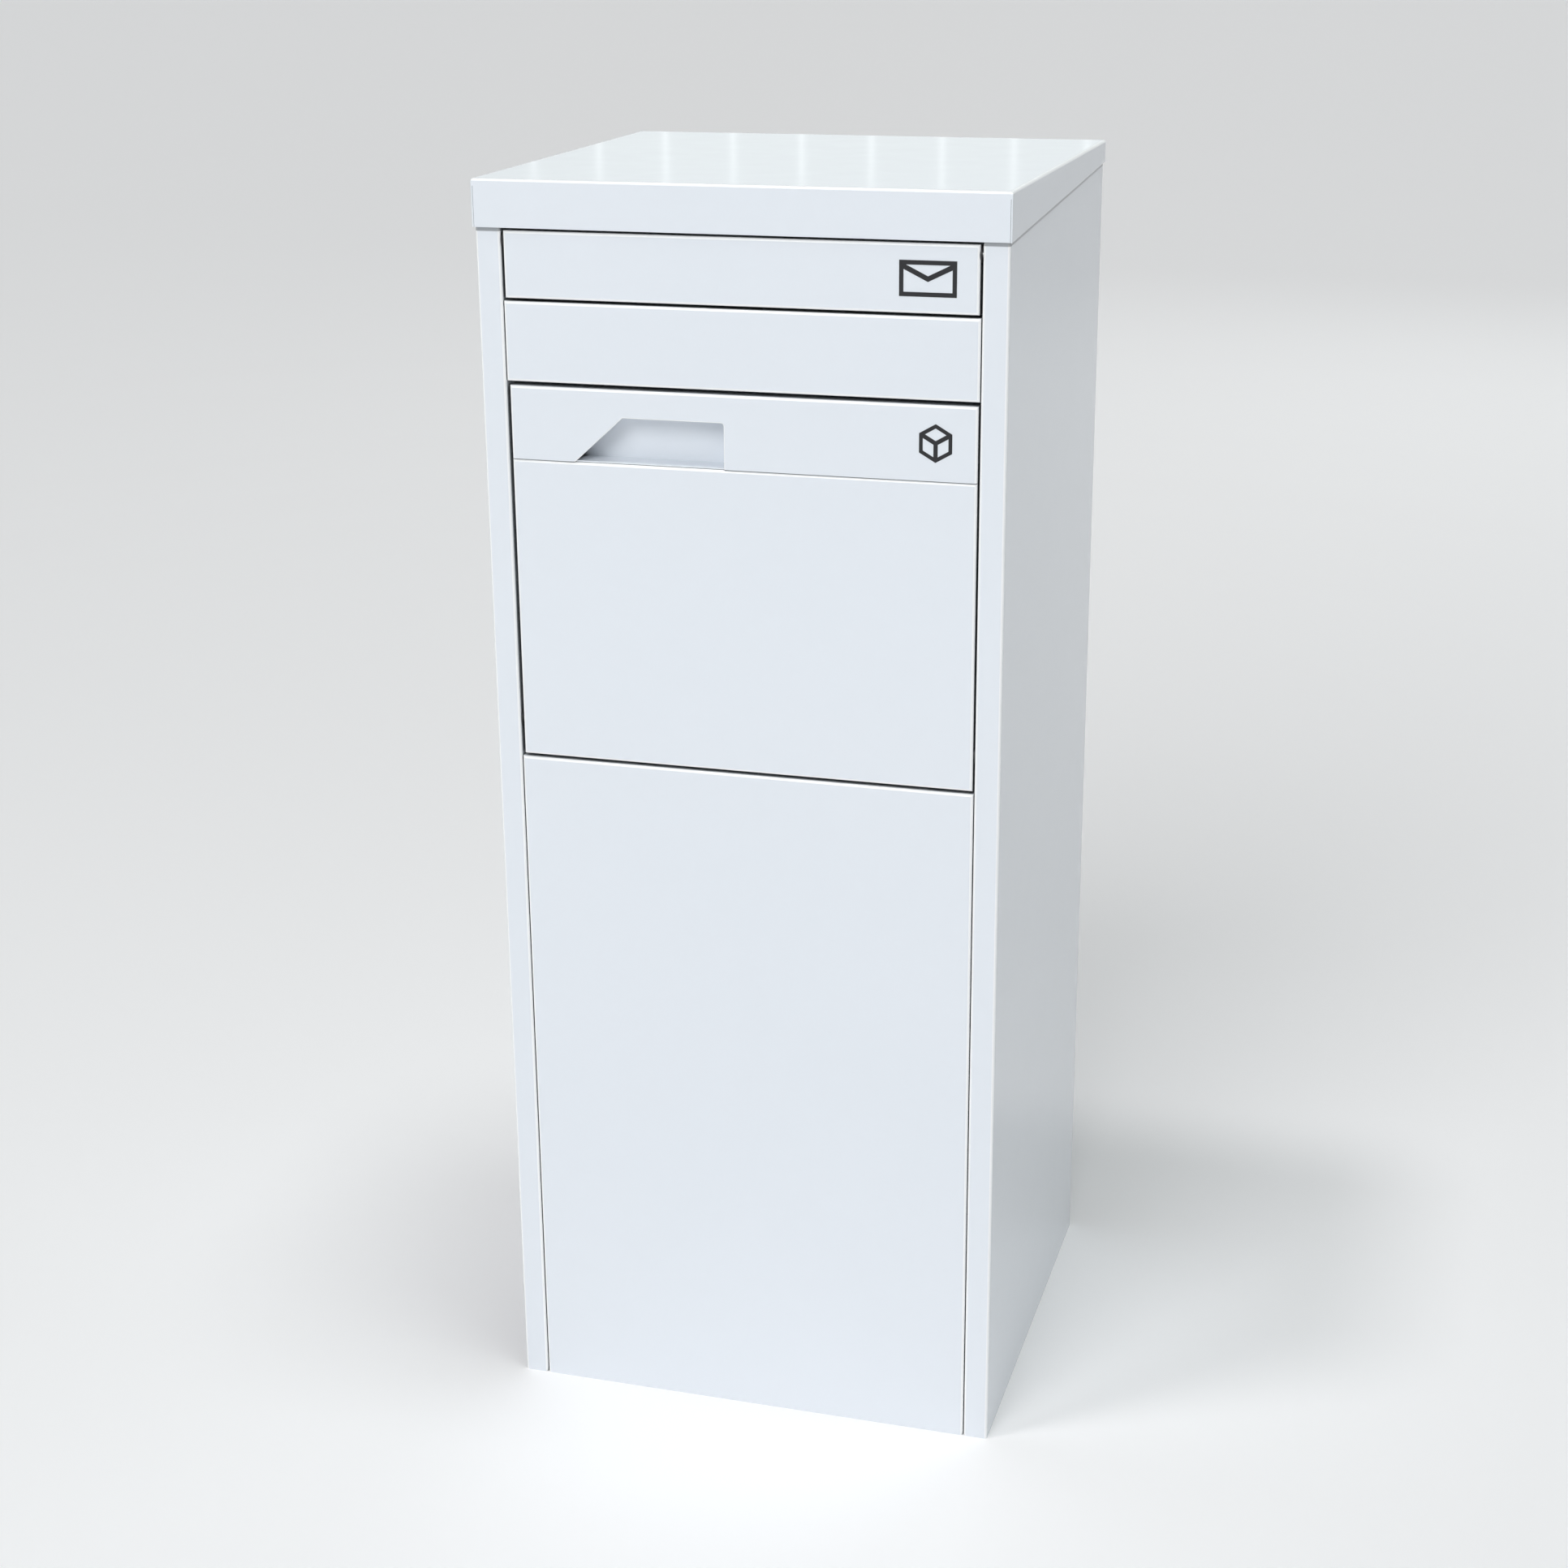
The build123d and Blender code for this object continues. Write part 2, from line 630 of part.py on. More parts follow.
def cap_nuts():
    """The four nuts that draw the cap down on the side walls."""
    nuts = []
    top = BODY_TOP - SHEET - NUT_CLEARANCE
    for x in (-CAP_STUD_X, CAP_STUD_X):
        for y in (-CAP_STUD_Y, CAP_STUD_Y):
            nuts.append(hexagon_nut("z", (x, y), NUT_R, top - NUT_THICK, top, STUD_R + NUT_CLEARANCE))
    return nuts


def front_panel(z0, z1, folds):
    """A fixed front panel between the posts, screwed to their returns."""
    half = X_POST - PANEL_SIDE_GAP
    panel = pan(-half, half, z0, z1, Y_FRONT, PANEL_RETURN, folds)
    shallow = Y_FRONT + PANEL_EDGE_RETURN
    inner = half - SHEET - LAP_GAP
    deep = Y_FRONT + PANEL_RETURN + OVERCUT
    panel -= block(-inner, inner, shallow, deep, z0 - OVERCUT, z1 + OVERCUT)
    reach = half + OVERCUT
    for z in panel_screw_levels():
        if z0 < z < z1:
            panel -= rod("x", (PANEL_SCREW_Y, z), SCREW_R + SCREW_HOLE_CLEARANCE, -reach, reach)
    return panel


def panel_screws():
    """Screws through the panels' side returns into the posts."""
    screws = []
    face = X_POST - PANEL_SIDE_GAP - SHEET - NUT_CLEARANCE
    for side in (-1, 1):
        for z in panel_screw_levels():
            centre = (PANEL_SCREW_Y, z)
            shank = rod("x", centre, SCREW_R, side * face, side * (face + SCREW_LENGTH))
            head = rod("x", centre, SCREW_HEAD_R, side * face, side * (face - SCREW_HEAD_THICK))
            screws.append(shank + head)
    return screws


# ---- letter flap ----
def letter_flap():
    """The push-in flap: a folded skin with bush holes in its side returns."""
    flap = pan(-FLAP_X, FLAP_X, FLAP_BOTTOM, FLAP_TOP, Y_FRONT, FLAP_RETURN, "LRBT")
    reach = FLAP_X + OVERCUT
    return flap - rod("x", (ROD_Y, ROD_Z), flap_bush_r() + LAP_GAP / 4, -reach, reach)


def flap_bush_r():
    """Outer radius of the flap's bushes."""
    return ROD_R + RUNNING_CLEARANCE + BUSH_WALL


def flap_bushes():
    """Plain bushes in the flap's side returns, flanged towards the posts."""
    def left():
        sleeve = rod("x", (ROD_Y, ROD_Z), flap_bush_r(), -FLAP_X, -FLAP_X + 3 * SHEET)
        flange = rod("x", (ROD_Y, ROD_Z), FLAP_BUSH_FLANGE_R, -FLAP_X - BUSH_FLANGE_THICK, -FLAP_X)
        bore = rod("x", (ROD_Y, ROD_Z), ROD_R + RUNNING_CLEARANCE, -X_POST, 0)
        return sleeve + flange - bore
    return both_sides(left)


def flap_hinge_rod():
    """The rod the flap swings on, through both posts."""
    end = X_POST + SHEET + ROD_CLIP_THICK + ROD_END
    return rod("x", (ROD_Y, ROD_Z), ROD_R, -end, end)


def rod_clips():
    """Push-on clips behind the posts that keep the rod in place."""
    def left():
        inner = -X_POST - SHEET - NUT_CLEARANCE
        clip = rod("x", (ROD_Y, ROD_Z), ROD_CLIP_FIT_R, inner - ROD_CLIP_THICK, inner)
        return clip - rod("x", (ROD_Y, ROD_Z), ROD_R + NUT_CLEARANCE, -X_SIDE, inner + OVERCUT)
    return both_sides(left)


def stop_bar_y():
    """The front face of the bar behind the flap's top edge."""
    return Y_FRONT + FLAP_RETURN + SEAT_GAP + PAD_THICK


def flap_stop_bar():
    """An angle between the posts' returns, its web cut back where the flap's side returns swing."""
    y = stop_bar_y()
    z0 = FLAP_TOP - STOP_BAR_WIDTH
    end = X_POST - LAP_GAP
    path = [(y, z0), (y, FLAP_TOP), (y + STOP_BAR_WIDTH, FLAP_TOP)]
    bar = bent_side(path, -end, end)
    web_end = FLAP_X - SHEET - STOP_BAR_SIDE_GAP
    web_top = FLAP_TOP - SHEET - BEND
    for side in (-1, 1):
        bar -= block(
            side * web_end, side * X_SIDE, y - OVERCUT, y + SHEET + BEND, z0 - OVERCUT, web_top,
        )
    return bar


def flap_stop_pad():
    """A rubber strip on the stop bar that quiets the flap as it falls shut."""
    y = stop_bar_y()
    half = FLAP_X - FLAP_PAD_INSET
    top = FLAP_TOP - FLAP_PAD_DROP
    return block(-half, half, y - PAD_THICK, y, top - FLAP_PAD_WIDTH, top)


# ---- parcel hopper ----
def pivot_hole(shape, radius):
    """Takes the pivot's hole through a hopper piece."""
    return shape - rod("x", (PIVOT_Y, PIVOT_Z), radius, -X_SIDE, X_SIDE)


def rivet_points():
    """Rivets along the door's and the strip's side returns: (y, z) points."""
    y = Y_FRONT + HOPPER_RETURN - RIVET_FROM_EDGE
    span = DOOR_SKIN_TOP - PIVOT_Z
    levels = [PIVOT_Z + share * span for share in RIVET_SHARES]
    levels.append(STRIP_BOTTOM + STRIP_RIVET_RISE)
    return [(y, z) for z in levels]


def tray_rivet_points():
    """Rivets along the tray's side flanges."""
    points = []
    up = FLOOR_SIDE_FLANGE * TRAY_RIVET_SHARE
    front = FLOOR_FLANGE_START + TRAY_RIVET_FRONT
    for along in (front, TRAY_RIVET_MIDDLE, CHEEK_R - TRAY_RIVET_BACK):
        y = TRAY_Y + along * SLOPE_Y - up * SLOPE_Z
        z = TRAY_Z + along * SLOPE_Z + up * SLOPE_Y
        points.append((y, z))
    return points


def rivet_holes(shape, points):
    """Takes rivet holes through both sides of a hopper piece."""
    for point in points:
        shape -= rod("x", point, RIVET_R + NUT_CLEARANCE, -X_SIDE, X_SIDE)
    return shape


def parcel_door_panel():
    """The lower skin of the parcel door, folded on all four sides."""
    panel = pan(HOPPER_X0, HOPPER_X1, DOOR_BOTTOM, DOOR_SKIN_TOP, Y_FRONT, HOPPER_RETURN, "LRBT")
    panel = pivot_hole(panel, PIVOT_PIN_R + LAP_GAP)
    y_end = Y_FRONT + HOPPER_RETURN + OVERCUT
    low = DOOR_SKIN_TOP - DOOR_NOTCH_DROP
    high = DOOR_SKIN_TOP + OVERCUT
    for side, skin in ((1, HOPPER_X0), (-1, HOPPER_X1)):
        notch = skin + side * (2 * SHEET + 2 * LAP_GAP)
        panel -= block(skin + side * SHEET, notch, Y_FRONT + SHEET, y_end, low, high)
    return rivet_holes(panel, rivet_points())


def cut_points(grow, top_grow):
    """The finger cut-out's outline, open at the bottom, grown all round."""
    right = CUT_LEFT + CUT_WIDTH
    run = CUT_SLANT / CUT_HEIGHT
    low = STRIP_BOTTOM - CUT_OVERLAP
    high = DOOR_SKIN_TOP + CUT_HEIGHT + top_grow
    left_low = CUT_LEFT - grow * CUT_SLANT_GROWTH
    return [
        (left_low + run * (low - DOOR_SKIN_TOP), low),
        (left_low + run * (high - DOOR_SKIN_TOP), high),
        (right + grow, high),
        (right + grow, low),
    ]


def parcel_grip_strip():
    """The upper skin of the parcel door, with the finger cut-out."""
    strip = pan(HOPPER_X0, HOPPER_X1, STRIP_BOTTOM, STRIP_TOP, Y_FRONT, HOPPER_RETURN, "LRT")
    cutter = face_prism(cut_points(0, 0), Y_FRONT - OVERCUT, Y_FRONT + 2 * SHEET)
    upper = [e for e in cutter.edges().filter_by(Axis.Y) if e.center().Z > STRIP_BOTTOM + OVERCUT]
    strip = strip - fillet(upper, CUT_CORNER_R)
    rim = []
    for edge in strip.edges():
        box = edge.bounding_box()
        on_face = abs(box.min.Y - Y_FRONT) < TINY and abs(box.max.Y - Y_FRONT) < TINY
        beside_cut = CUT_LEFT - TINY < box.min.X and box.max.X < CUT_LEFT + CUT_WIDTH + TINY
        below_fold = box.max.Z < DOOR_SKIN_TOP + CUT_HEIGHT + TINY
        if on_face and beside_cut and below_fold:
            rim.append(edge)
    return rivet_holes(fillet(rim, CUT_EDGE_R), rivet_points())


def finger_pocket():
    """The shallow box behind the cut-out, with a slanted left wall."""
    front = Y_FRONT + SHEET + LAP_GAP
    back = front + POCKET_DEPTH
    outer = face_prism(cut_points(POCKET_MARGIN, POCKET_MARGIN), front, back)
    hollow = face_prism(
        cut_points(POCKET_MARGIN - POCKET_SHEET, POCKET_MARGIN - POCKET_SHEET),
        front - OVERCUT, back - POCKET_SHEET,
    )
    low = STRIP_BOTTOM - HOLE_REACH
    y0 = front - 2 * OVERCUT
    y1 = back + OVERCUT
    box = outer - block(-X_SIDE, X_SIDE, y0, y1, low, STRIP_BOTTOM)
    hollow = hollow - block(-X_SIDE, X_SIDE, y0, y1, low, STRIP_BOTTOM + POCKET_SHEET)
    return box - hollow


def cheek(left):
    """A sector-shaped side of the hopper, centred on its pivot."""
    x0 = CHEEK_X0 if left else CHEEK_X1 - SHEET
    front = Y_FRONT + SHEET + LAP_GAP
    disc = rod("x", (PIVOT_Y, PIVOT_Z), CHEEK_R, x0, x0 + SHEET)
    low = TRAY_Z - SHEET / SLOPE_Y
    reach = 2 * CHEEK_R
    keep = [
        (front, low),
        (front, STRIP_TOP - SHEET - CHEEK_TOP_MARGIN),
        (front + reach, STRIP_TOP - SHEET - CHEEK_TOP_MARGIN),
        (front + reach, low + reach * SLOPE_Z / SLOPE_Y),
    ]
    plate = disc & side_prism(keep, x0, x0 + SHEET)
    plate = pivot_hole(plate, PIVOT_PIN_R + NUT_CLEARANCE)
    plate = rivet_holes(plate, rivet_points() + tray_rivet_points())
    stud_y = PIVOT_Y + STOP_STUD_ORBIT * sin(radians(STOP_STUD_ANGLE))
    stud_z = PIVOT_Z + STOP_STUD_ORBIT * cos(radians(STOP_STUD_ANGLE))
    if left:
        stud = rod("x", (stud_y, stud_z), STOP_STUD_R, x0 + SHEET / 2, x0 - STOP_STUD_LENGTH)
    else:
        stud = rod("x", (stud_y, stud_z), STOP_STUD_R, x0 + SHEET / 2, x0 + SHEET + STOP_STUD_LENGTH)
    return plate + stud


def tray_length():
    """Distance along the tray to where its rear edge reaches the cheeks' radius."""
    dy = TRAY_Y - PIVOT_Y
    dz = TRAY_Z - PIVOT_Z
    half = dy * SLOPE_Y + dz * SLOPE_Z
    return -half + sqrt(half * half - dy * dy - dz * dz + CHEEK_R * CHEEK_R) - TRAY_EDGE_MARGIN


def hopper_floor():
    """The sloping tray under the parcel: front flange, floor, rear lip and side flanges."""
    length = tray_length()
    end_y = TRAY_Y + length * SLOPE_Y
    end_z = TRAY_Z + length * SLOPE_Z
    path = [
        (TRAY_Y - SHEET, TRAY_Z - FLOOR_FRONT_FLANGE),
        (TRAY_Y - SHEET, TRAY_Z),
        (end_y, end_z),
        (end_y + FLOOR_REAR_LIP * SLOPE_Z, end_z - FLOOR_REAR_LIP * SLOPE_Y),
    ]
    tray = bent_side(path, TRAY_X0, TRAY_X1)
    up_y = -FLOOR_SIDE_FLANGE * SLOPE_Z
    up_z = FLOOR_SIDE_FLANGE * SLOPE_Y
    start = FLOOR_FLANGE_START
    stop = length - FLOOR_FLANGE_END
    strip = [
        (TRAY_Y + start * SLOPE_Y, TRAY_Z + start * SLOPE_Z - SHEET),
        (TRAY_Y + start * SLOPE_Y + up_y, TRAY_Z + start * SLOPE_Z + up_z),
        (TRAY_Y + stop * SLOPE_Y + up_y, TRAY_Z + stop * SLOPE_Z + up_z),
        (TRAY_Y + stop * SLOPE_Y, TRAY_Z + stop * SLOPE_Z - SHEET),
    ]
    tray += side_prism(strip, TRAY_X0, TRAY_X0 + SHEET)
    tray += side_prism(strip, TRAY_X1 - SHEET, TRAY_X1)
    return rivet_holes(tray, tray_rivet_points())


def hopper_pivot_pins():
    """Two headed pins, fixed in the cheeks, that turn in the posts' bushes."""
    pins = []
    for side, inner in ((-1, TRAY_X0 - LAP_GAP), (1, TRAY_X1 + LAP_GAP)):
        tip = side * (X_POST + SHEET + PIVOT_PIN_END)
        head_end = inner - side * PIVOT_HEAD_THICK
        shank = rod("x", (PIVOT_Y, PIVOT_Z), PIVOT_PIN_R, inner, tip)
        head = rod("x", (PIVOT_Y, PIVOT_Z), PIVOT_HEAD_R, inner, head_end)
        pins.append(shank + head)
    return pins


def hopper_pivot_bushes():
    """Flanged bushes in the posts' inner returns."""
    def left():
        sleeve = rod("x", (PIVOT_Y, PIVOT_Z), pivot_bush_r(), -X_POST, -X_POST - SHEET - PIVOT_BUSH_END)
        flange = rod("x", (PIVOT_Y, PIVOT_Z), PIVOT_BUSH_FLANGE_R, -X_POST, -X_POST + BUSH_FLANGE_THICK)
        bore = rod("x", (PIVOT_Y, PIVOT_Z), PIVOT_PIN_R + RUNNING_CLEARANCE, -X_SIDE, 0)
        return sleeve + flange - bore
    return both_sides(left)


def hopper_rivets():
    """Rivets that join the cheeks to the door skins and to the tray."""
    rivets = []
    for side in (-1, 1):
        skin = HOPPER_X0 if side < 0 else HOPPER_X1
        cheek_in = TRAY_X0 - LAP_GAP if side < 0 else TRAY_X1 + LAP_GAP
        cheek_out = CHEEK_X0 if side < 0 else CHEEK_X1
        tray_in = TRAY_X0 + SHEET if side < 0 else TRAY_X1 - SHEET
        for point in rivet_points():
            shank = rod("x", point, RIVET_R, cheek_in, skin)
            head = rod("x", point, RIVET_HEAD_R, cheek_in, cheek_in - side * RIVET_HEAD_THICK)
            rivets.append(shank + head)
        for point in tray_rivet_points():
            shank = rod("x", point, RIVET_R, tray_in, cheek_out)
            head = rod("x", point, RIVET_HEAD_R, tray_in, tray_in - side * RIVET_HEAD_THICK)
            rivets.append(shank + head)
    return rivets


def hopper_rest_bar():
    """An angle across the casing, set to the tray's slope, with end plates on the walls."""
    face_y, face_z = rest_bar_centre()
    length = 2 * WALL_FIT_X - 2 * SHEET
    top = Pos(0, 0, -SHEET / 2) * Box(length, REST_BAR_WIDTH, SHEET)
    web_y = SHEET / 2 - REST_BAR_WIDTH / 2
    web = Pos(0, web_y, -REST_BAR_WEB / 2) * Box(length, SHEET, REST_BAR_WEB)
    bar = Pos(0, face_y, face_z) * Rot(-FLOOR_SLOPE, 0, 0) * (top + web)
    stud_y, stud_z = rest_bar_stud_point()
    for side in (-1, 1):
        x_out = side * WALL_FIT_X
        plate = block(
            x_out, x_out - side * SHEET,
            face_y - REST_PLATE_FRONT, face_y + REST_PLATE_BACK,
            face_z - REST_PLATE_DOWN, face_z + REST_PLATE_UP,
        )
        plate -= rod("x", (stud_y, stud_z), WALL_STUD_R + STUD_CLEARANCE, -X_SIDE, X_SIDE)
        bar += plate
    return bar


def hopper_rest_pad():
    """A rubber strip on the rest bar, under the closed tray."""
    face_y, face_z = rest_bar_centre()
    strip = Pos(0, 0, PAD_THICK / 2) * Box(REST_PAD_LENGTH, REST_PAD_WIDTH, PAD_THICK)
    return Pos(0, face_y, face_z) * Rot(-FLOOR_SLOPE, 0, 0) * strip


def stop_place(side, along):
    """A frame on the stop stud's path, its Y axis pointing along the stud's last movement."""
    y, z, angle = hopper_stop_frame()
    y_along = y - along * cos(angle)
    z_along = z + along * sin(angle)
    return Pos(side * WALL_FIT_X, y_along, z_along) * Rot(180 - STOP_TILT, 0, 0)


def hopper_stop(side):
    """A bracket on the side wall with an upright face that ends the hopper's travel."""
    gap = STOP_STUD_R + SEAT_GAP + PAD_THICK
    upright = Pos(-side * STOP_REACH / 2, SHEET / 2, 0) * Box(STOP_REACH, SHEET, STOP_WIDTH)
    foot = Pos(-side * SHEET / 2, STOP_WIDTH / 2, 0) * Box(SHEET, STOP_WIDTH, STOP_WIDTH)
    bracket = stop_place(side, gap) * (upright + foot)
    return bracket - rod("x", hopper_stop_stud_point(), WALL_STUD_R + STUD_CLEARANCE, -X_SIDE, X_SIDE)


def hopper_stop_pads():
    """Rubber pads on the faces of the two stops."""
    pads = []
    for side in (-1, 1):
        gap = STOP_STUD_R + SEAT_GAP
        pad = Box(STOP_PAD_LENGTH, PAD_THICK, STOP_PAD_WIDTH)
        pads.append(stop_place(side, gap) * Pos(-side * STOP_PAD_CENTRE, PAD_THICK / 2, 0) * pad)
    return pads


# ---- letter chute and baffle ----
def chute_z(y):
    """The height of the chute's upper face above a point."""
    return CHUTE_FRONT_Z - (y - CHUTE_Y) * sin(radians(CHUTE_SLOPE)) / cos(radians(CHUTE_SLOPE))


def letter_chute():
    """The sloping floor under the letter flap: a neck between the posts, then full width."""
    down = SHEET / cos(radians(CHUTE_SLOPE))
    section = [
        (CHUTE_Y, chute_z(CHUTE_Y)),
        (CHUTE_BACK_Y, chute_z(CHUTE_BACK_Y)),
        (CHUTE_BACK_Y, chute_z(CHUTE_BACK_Y) - down),
        (CHUTE_Y, chute_z(CHUTE_Y) - down),
    ]
    neck = X_POST - CHUTE_NECK_GAP
    step = Y_FRONT + POST_RETURN + CHUTE_POST_GAP
    plate = side_prism(section, -WALL_FIT_X, WALL_FIT_X)
    for side in (-1, 1):
        plate -= block(side * neck, side * X_SIDE, Y_FRONT, step, 0, TOTAL_HEIGHT)
        rail = [
            (step, chute_z(step) - down / 2),
            (CHUTE_BACK_Y, chute_z(CHUTE_BACK_Y) - down / 2),
            (CHUTE_BACK_Y, chute_z(CHUTE_BACK_Y) + CHUTE_SIDE_FLANGE),
            (step, chute_z(step) + CHUTE_SIDE_FLANGE),
        ]
        x_out = side * WALL_FIT_X
        x_in = side * (WALL_FIT_X - SHEET)
        plate += side_prism(rail, min(x_out, x_in), max(x_out, x_in))
    lip_top = chute_z(CHUTE_Y) - down / 2
    lip_low = chute_z(CHUTE_Y) - CHUTE_LIP
    plate += block(-neck, neck, CHUTE_Y, CHUTE_Y + SHEET, lip_low, lip_top)
    for point in chute_stud_points():
        plate -= rod("x", point, WALL_STUD_R + STUD_CLEARANCE, -X_SIDE, X_SIDE)
    return plate


def anti_fishing_baffle():
    """A fixed plate behind the hopper's sweep, so that nothing can be drawn back out."""
    down = SHEET / cos(radians(CHUTE_SLOPE))
    top = chute_z(BAFFLE_Y + SHEET) - down - SEAT_GAP
    path = [
        (-WALL_FIT_X, BAFFLE_Y + BAFFLE_FLANGE),
        (-WALL_FIT_X, BAFFLE_Y),
        (WALL_FIT_X, BAFFLE_Y),
        (WALL_FIT_X, BAFFLE_Y + BAFFLE_FLANGE),
    ]
    sheet = bent_plan(list(reversed(path)), BAFFLE_BOTTOM, top)
    y0 = BAFFLE_Y - OVERCUT
    y1 = BAFFLE_Y + BAFFLE_FLANGE + OVERCUT
    keep_under = [
        (y0, BAFFLE_BOTTOM - OVERCUT),
        (y0, chute_z(y0) - down - SEAT_GAP),
        (y1, chute_z(y1) - down - SEAT_GAP),
        (y1, BAFFLE_BOTTOM - OVERCUT),
    ]
    sheet = sheet & side_prism(keep_under, -X_SIDE, X_SIDE)
    lip = block(
        -WALL_FIT_X + 2 * SHEET, WALL_FIT_X - 2 * SHEET, BAFFLE_Y, BAFFLE_Y + BAFFLE_LIP,
        BAFFLE_BOTTOM, BAFFLE_BOTTOM + SHEET,
    )
    sheet += lip
    for point in baffle_stud_points():
        sheet -= rod("x", point, WALL_STUD_R + STUD_CLEARANCE, -X_SIDE, X_SIDE)
    return sheet


# ---- rear frame, door and lock ----
def hinge_hole(shape, radius, z0, z1):
    """Takes a vertical hinge-pin hole."""
    return shape - rod("z", (HINGE_X, HINGE_Y), radius, z0, z1)


def rear_rail(bottom):
    """A rail lapped behind the posts' rear returns, with a flange that holds the hinge pin."""
    y_out = Y_BACK - SHEET - LAP_GAP
    y_in = Y_BACK - REAR_RAIL_FLANGE
    if bottom:
        edge = REAR_DOOR_BOTTOM - REAR_RAIL_GAP
        path = [(y_in, edge), (y_out, edge), (y_out, BASE_SHEET)]
    else:
        edge = REAR_DOOR_TOP + REAR_RAIL_GAP
        path = [(y_out, BODY_TOP - SHEET - LAP_GAP), (y_out, edge), (y_in, edge)]
    half = WALL_FIT_X - BEND
    rail = bent_side(path, -half, half)
    return hinge_hole(rail, HINGE_PIN_R + NUT_CLEARANCE, edge - HOLE_REACH, edge + HOLE_REACH)


def rear_hinge_pins():
    """Two collared pins, fixed in the rails, that the rear door turns on."""
    pins = []
    collar = REAR_RAIL_GAP - SEAT_GAP
    reach = HINGE_PIN_LENGTH / 2
    low = REAR_DOOR_BOTTOM - REAR_RAIL_GAP
    high = REAR_DOOR_TOP + REAR_RAIL_GAP
    centre = (HINGE_X, HINGE_Y)
    pins.append(
        rod("z", centre, HINGE_PIN_R, low - reach, low + reach)
        + rod("z", centre, HINGE_COLLAR_R, low, low + collar)
    )
    pins.append(
        rod("z", centre, HINGE_PIN_R, high - reach, high + reach)
        + rod("z", centre, HINGE_COLLAR_R, high - collar, high)
    )
    return pins


def rear_door_panel():
    """The rear door: a folded skin with hinge holes and the lock's hole."""
    door = pan(
        -REAR_X, REAR_X, REAR_DOOR_BOTTOM, REAR_DOOR_TOP, Y_BACK, REAR_RETURN, "LRBT", facing=1,
    )
    running = HINGE_PIN_R + RUNNING_CLEARANCE
    for level in (REAR_DOOR_BOTTOM, REAR_DOOR_TOP):
        door = hinge_hole(door, running, level - HOLE_REACH, level + HOLE_REACH)
    hole_r = LOCK_R + LAP_GAP
    return door - rod("y", (LOCK_X, LOCK_Z), hole_r, Y_BACK - HOLE_REACH, Y_BACK + HOLE_REACH)


def rear_door_stiffener():
    """A hat-section channel up the inside of the rear door."""
    y = Y_BACK - SHEET - LAP_GAP
    half = STIFFENER_WIDTH / 2
    foot = half - STIFFENER_FOOT
    path = [
        (half, y), (foot, y), (foot, y - STIFFENER_DEPTH), (-foot, y - STIFFENER_DEPTH),
        (-foot, y), (-half, y),
    ]
    low = REAR_DOOR_BOTTOM + STIFFENER_END_GAP
    high = REAR_DOOR_TOP - STIFFENER_END_GAP
    return bent_plan(path[::-1], low, high)


def lock_body():
    """The lock's housing: a head outside the door and a barrel through it."""
    barrel = rod("y", (LOCK_X, LOCK_Z), LOCK_R, Y_BACK, Y_BACK - LOCK_LENGTH)
    head = rod("y", (LOCK_X, LOCK_Z), LOCK_HEAD_R, Y_BACK, Y_BACK + LOCK_HEAD_THICK)
    bore_end = Y_BACK - LOCK_LENGTH - OVERCUT
    bore = rod("y", (LOCK_X, LOCK_Z), PLUG_R + RUNNING_CLEARANCE, bore_end, Y_BACK + HOLE_REACH)
    return barrel + head - bore


def lock_nut():
    """The nut that clamps the lock to the door's skin."""
    start = Y_BACK - SHEET
    end = start - LOCK_NUT_THICK
    return hexagon_nut("y", (LOCK_X, LOCK_Z), LOCK_NUT_R, start, end, LOCK_R + NUT_CLEARANCE)


def lock_plug():
    """The turning plug with its key slot."""
    face = Y_BACK + LOCK_HEAD_THICK
    plug = rod("y", (LOCK_X, LOCK_Z), PLUG_R, face, CAM_FRONT_Y)
    slot = block(
        LOCK_X - KEY_SLOT_HALF, LOCK_X + KEY_SLOT_HALF, face - KEY_SLOT_DEPTH, face + OVERCUT,
        LOCK_Z - KEY_SLOT_REACH, LOCK_Z + KEY_SLOT_REACH,
    )
    return plug - slot


def lock_cam():
    """The cam behind the plug: it hangs down when unlocked."""
    half = CAM_WIDTH / 2
    reach = CAM_LENGTH - half
    y0 = CAM_FRONT_Y - CAM_THICK
    arm = block(LOCK_X - half, LOCK_X + half, y0, CAM_FRONT_Y, LOCK_Z - reach, LOCK_Z)
    hub = rod("y", (LOCK_X, LOCK_Z), half, y0, CAM_FRONT_Y)
    tip = rod("y", (LOCK_X, LOCK_Z - reach), half, y0, CAM_FRONT_Y)
    return arm + hub + tip


def cam_screw():
    """The screw head that holds the cam on the plug."""
    start = CAM_FRONT_Y - CAM_THICK
    return rod("y", (LOCK_X, LOCK_Z), CAM_SCREW_R, start, start - CAM_SCREW_HEAD)


def lock_strike():
    """An angle on the right wall that the turned cam holds behind."""
    x_in = X_POST + REAR_SIDE_GAP / 4
    z0 = LOCK_Z - STRIKE_HEIGHT / 2
    z1 = LOCK_Z + STRIKE_HEIGHT / 2
    path = [(x_in, STRIKE_Y), (WALL_FIT_X, STRIKE_Y), (WALL_FIT_X, STRIKE_Y + STRIKE_FOOT)]
    plate = bent_plan(path[::-1], z0, z1)
    return plate - rod("x", strike_stud_point(), WALL_STUD_R + STUD_CLEARANCE, 0, X_SIDE)


def rear_stop_face():
    """The front plane of the rear door's rubber stops."""
    return Y_BACK - REAR_RETURN - SEAT_GAP - PAD_THICK


